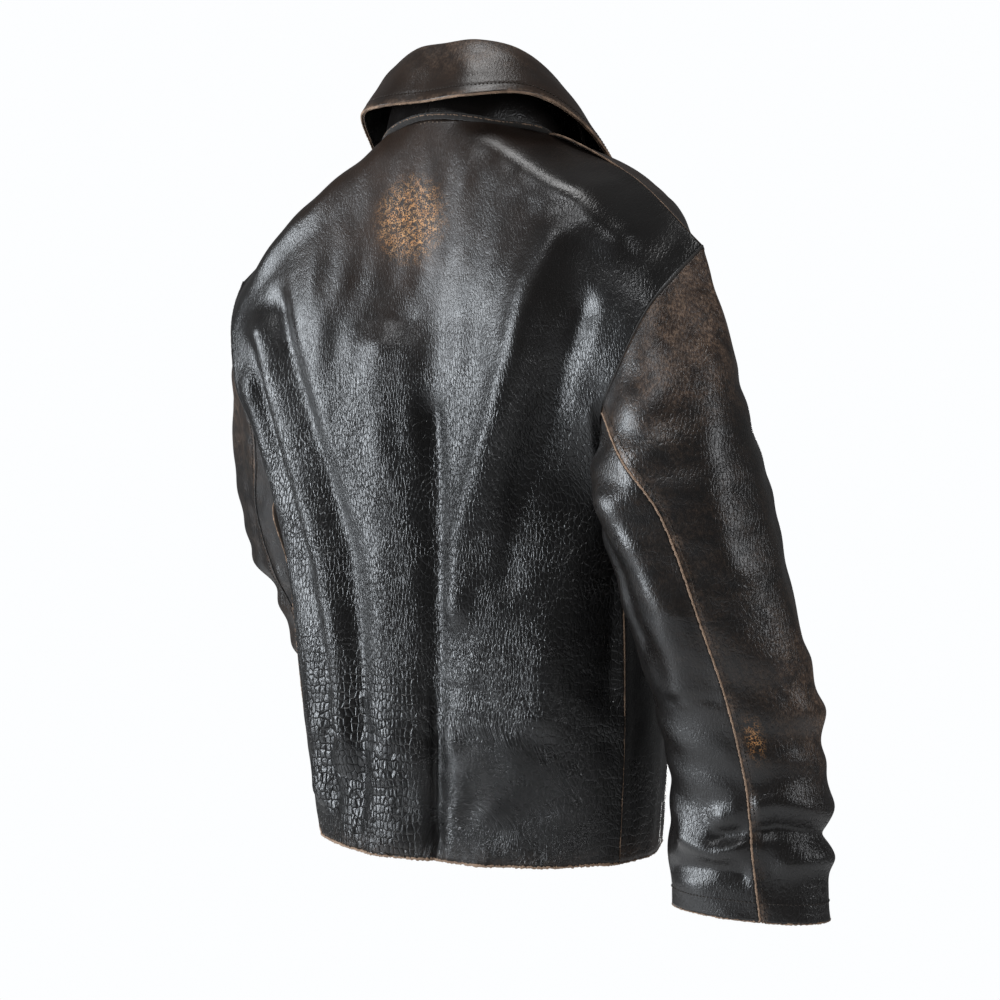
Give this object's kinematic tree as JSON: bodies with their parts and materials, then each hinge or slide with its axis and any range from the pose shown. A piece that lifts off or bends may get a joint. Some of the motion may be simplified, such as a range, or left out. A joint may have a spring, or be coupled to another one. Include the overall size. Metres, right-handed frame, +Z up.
{
  "type": "leather welding jacket",
  "caption": "Heavy black leather welding jacket with a turned-down collar, set-in two-piece sleeves and an unfastened press-stud front, hanging as on a form.",
  "frame": {"origin": "centre-back point of the neck seam, where the jacket hangs from the nape", "axes": "+Z up; the wearer faces -Y, so the back of the jacket faces +Y; +X is the wearer's left"},
  "size_m": [0.6487, 0.3404, 0.7363],
  "materials": {
    "leather_black": "smooth, worn, half gloss",
    "leather_worn": "smooth, rubbed brown on the sleeves",
    "leather_under": "flesh side and under layers, matt",
    "snap_metal": "dark oxidised press studs"
  },
  "bodies": {
    "jacket": {"back_panel": "leather_black", "front_side_left": "leather_black", "collar_stand_left": "leather_black", "front_side_right": "leather_black", "collar_stand_right": "leather_black", "collar_leaf_top": "leather_black", "collar_leaf_under": "leather_under", "hanging_loop": "leather_black"},
    "front_left": {"front_flap_left": "leather_black", "front_facing_left": "leather_under", "snap_cap_1": "snap_metal", "snap_cap_2": "snap_metal", "snap_cap_3": "snap_metal", "snap_cap_4": "snap_metal", "snap_cap_5": "snap_metal", "snap_socket_1": "snap_metal", "snap_socket_2": "snap_metal", "snap_socket_3": "snap_metal", "snap_socket_4": "snap_metal", "snap_socket_5": "snap_metal"},
    "front_right": {"front_flap_right": "leather_black", "front_facing_right": "leather_under", "snap_stud_1": "snap_metal", "snap_stud_2": "snap_metal", "snap_stud_3": "snap_metal", "snap_stud_4": "snap_metal", "snap_stud_5": "snap_metal", "snap_backing_1": "snap_metal", "snap_backing_2": "snap_metal", "snap_backing_3": "snap_metal", "snap_backing_4": "snap_metal", "snap_backing_5": "snap_metal"},
    "sleeve_left": {"sleeve_top_left": "leather_worn", "sleeve_under_left": "leather_worn"},
    "sleeve_right": {"sleeve_top_right": "leather_worn", "sleeve_under_right": "leather_worn"}
  },
  "joints": [
    {"name": "front_left_open", "type": "hinge", "parent": "jacket", "child": "front_left", "pos_m": [0.05, -0.206, -0.085], "axis": [-0.1511, 0.0658, 0.9863], "range_deg": [0, 60]},
    {"name": "front_right_open", "type": "hinge", "parent": "jacket", "child": "front_right", "pos_m": [-0.05, -0.206, -0.085], "axis": [-0.1511, -0.0658, -0.9863], "range_deg": [0, 60]},
    {"name": "sleeve_left_raise", "type": "hinge", "parent": "jacket", "child": "sleeve_left", "pos_m": [0.222, -0.07, -0.119], "axis": [0, -1, 0], "range_deg": [0, 40]},
    {"name": "sleeve_right_raise", "type": "hinge", "parent": "jacket", "child": "sleeve_right", "pos_m": [-0.222, -0.07, -0.119], "axis": [0, 1, 0], "range_deg": [0, 40]}
  ]
}
